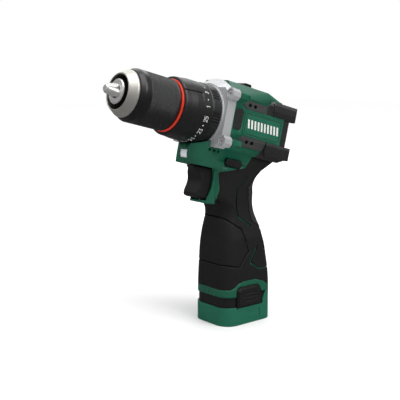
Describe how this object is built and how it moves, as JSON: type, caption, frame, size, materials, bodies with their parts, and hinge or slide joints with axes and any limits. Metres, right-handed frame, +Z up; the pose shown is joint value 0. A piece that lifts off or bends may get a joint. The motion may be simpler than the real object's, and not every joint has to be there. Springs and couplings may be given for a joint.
{
  "type": "cordless drill",
  "caption": "Pistol-grip cordless drill with keyless chuck, torque collar, alloy gearbox flange, speed and direction controls, trigger and slide-in stick battery.",
  "frame": {"origin": "centre of the battery base's flat bottom face, which the drill stands on", "axes": "+Z up from the battery base, -Y towards the chuck (the barrel points forward and is pitched up 14 degrees), +X the drill's left side"},
  "size_m": [0.066, 0.1784, 0.2122],
  "materials": {
    "green_plastic": "fine moulded texture",
    "tray_green": "fine moulded texture",
    "black_rubber": "soft matt",
    "guard_black": "matt",
    "vent_grey": "matt",
    "plate_green": "satin",
    "cast_alloy": "fine bead-blasted casting",
    "screw_steel": "zinc plated",
    "gear_steel": "sintered",
    "bright_steel": "turned",
    "motor_iron": "laminated",
    "copper_wire": "enamelled copper",
    "switch_black": "matt",
    "board_green": "solder mask",
    "light_lens": "frosted clear",
    "control_black": "satin",
    "chuck_steel": "ground",
    "nickel": "satin nickel",
    "brass_alloy": "turned",
    "sleeve_black": "matt",
    "accent_red": "satin",
    "battery_black": "fine moulded texture",
    "cell_wrap": null
  },
  "bodies": {
    "housing": {"left_housing": "green_plastic", "right_housing": "green_plastic", "left_grip_cover": "black_rubber", "right_grip_cover": "black_rubber", "rear_cap": "guard_black", "left_guards": "guard_black", "right_guards": "guard_black", "left_vent_trim": "vent_grey", "right_vent_trim": "vent_grey", "left_name_plate": "plate_green", "right_name_plate": "plate_green", "gearbox_case": "cast_alloy", "gearbox_screws": "screw_steel", "housing_screws": "screw_steel", "ring_gear": "gear_steel", "front_bearing": "bright_steel", "rear_bearing": "bright_steel", "motor_plate": "bright_steel", "stator_core": "motor_iron", "stator_coils": "copper_wire", "clutch_spring": "bright_steel", "switch_body": "switch_black", "control_board": "board_green", "terminal_block": "switch_black", "light_lens": "light_lens", "light_board": "board_green"},
    "direction_button": {"direction_button": "control_black"},
    "speed_selector": {"speed_selector": "control_black"},
    "trigger": {"trigger": "control_black"},
    "spindle": {"spindle": "bright_steel", "planet_carrier": "bright_steel", "chuck_body": "chuck_steel"},
    "chuck_sleeve": {"chuck_sleeve": "sleeve_black", "nose_ring": "nickel", "chuck_nut": "brass_alloy"},
    "jaw_a": {"jaw_a": "chuck_steel"},
    "jaw_b": {"jaw_b": "chuck_steel"},
    "jaw_c": {"jaw_c": "chuck_steel"},
    "torque_collar": {"torque_collar": "sleeve_black", "accent_ring": "accent_red"},
    "rotor": {"rotor": "motor_iron", "cooling_fan": "switch_black", "sun_gear": "gear_steel"},
    "planet_gear_a": {"planet_gear_a": "gear_steel"},
    "planet_gear_b": {"planet_gear_b": "gear_steel"},
    "planet_gear_c": {"planet_gear_c": "gear_steel"},
    "battery": {"battery_tray": "tray_green", "battery_band": "battery_black", "battery_tower": "battery_black", "battery_cells": "cell_wrap", "battery_contacts": "brass_alloy"},
    "left_latch": {"left_latch": "battery_black"},
    "right_latch": {"right_latch": "battery_black"}
  },
  "joints": [
    {"name": "chuck_spin", "type": "hinge", "parent": "housing", "child": "spindle", "pos_m": [0, 0, 0.1662], "axis": [0, -0.9703, 0.2419], "continuous": true},
    {"name": "sleeve_turn", "type": "hinge", "parent": "spindle", "child": "chuck_sleeve", "pos_m": [0, 0, 0.1662], "axis": [0, -0.9703, 0.2419], "range_deg": [0, 1800]},
    {"name": "jaw_a_slide", "type": "slide", "parent": "spindle", "child": "jaw_a", "axis": [0, 0.9998, 0.0175], "range_m": [0, 0.02]},
    {"name": "jaw_b_slide", "type": "slide", "parent": "spindle", "child": "jaw_b", "axis": [0.2241, 0.9059, -0.3592], "range_m": [0, 0.02]},
    {"name": "jaw_c_slide", "type": "slide", "parent": "spindle", "child": "jaw_c", "axis": [-0.2241, 0.9059, -0.3592], "range_m": [0, 0.02]},
    {"name": "torque_setting", "type": "hinge", "parent": "housing", "child": "torque_collar", "pos_m": [0, 0, 0.1662], "axis": [0, -0.9703, 0.2419], "range_deg": [0, 300]},
    {"name": "rotor_spin", "type": "hinge", "parent": "housing", "child": "rotor", "pos_m": [0, 0, 0.1662], "axis": [0, -0.9703, 0.2419], "continuous": true},
    {"name": "planet_a_spin", "type": "hinge", "parent": "spindle", "child": "planet_gear_a", "pos_m": [0, -0.00831, 0.17832], "axis": [0, -0.9703, 0.2419], "continuous": true},
    {"name": "planet_b_spin", "type": "hinge", "parent": "spindle", "child": "planet_gear_b", "pos_m": [-0.00844, -0.01185, 0.16413], "axis": [0, -0.9703, 0.2419], "continuous": true},
    {"name": "planet_c_spin", "type": "hinge", "parent": "spindle", "child": "planet_gear_c", "pos_m": [0.00844, -0.01185, 0.16413], "axis": [0, -0.9703, 0.2419], "continuous": true},
    {"name": "speed_shift", "type": "slide", "parent": "housing", "child": "speed_selector", "axis": [0, 0.9703, -0.2419], "range_m": [0, 0.006]},
    {"name": "direction_push", "type": "slide", "parent": "housing", "child": "direction_button", "axis": [1, 0, 0], "range_m": [-0.002, 0.002]},
    {"name": "trigger_pull", "type": "slide", "parent": "housing", "child": "trigger", "axis": [0, 0.9703, -0.2419], "range_m": [0, 0.005], "stiffness_N_per_m": 600, "springref_m": -0.002},
    {"name": "battery_release", "type": "slide", "parent": "housing", "child": "battery", "axis": [0, 0, -1], "range_m": [0, 0.09]},
    {"name": "left_latch_press", "type": "slide", "parent": "battery", "child": "left_latch", "axis": [-1, 0, 0], "range_m": [0, 0.0012], "stiffness_N_per_m": 800, "springref_m": -0.001},
    {"name": "right_latch_press", "type": "slide", "parent": "battery", "child": "right_latch", "axis": [1, 0, 0], "range_m": [0, 0.0012], "stiffness_N_per_m": 800, "springref_m": -0.001}
  ],
  "couplings": [
    {"joint": "jaw_a_slide", "follows": "sleeve_turn", "m_per_rad": 0.0006366},
    {"joint": "jaw_b_slide", "follows": "sleeve_turn", "m_per_rad": 0.0006366},
    {"joint": "jaw_c_slide", "follows": "sleeve_turn", "m_per_rad": 0.0006366},
    {"joint": "rotor_spin", "follows": "chuck_spin", "ratio": 5},
    {"joint": "planet_a_spin", "follows": "chuck_spin", "ratio": -2.6667},
    {"joint": "planet_b_spin", "follows": "chuck_spin", "ratio": -2.6667},
    {"joint": "planet_c_spin", "follows": "chuck_spin", "ratio": -2.6667}
  ]
}
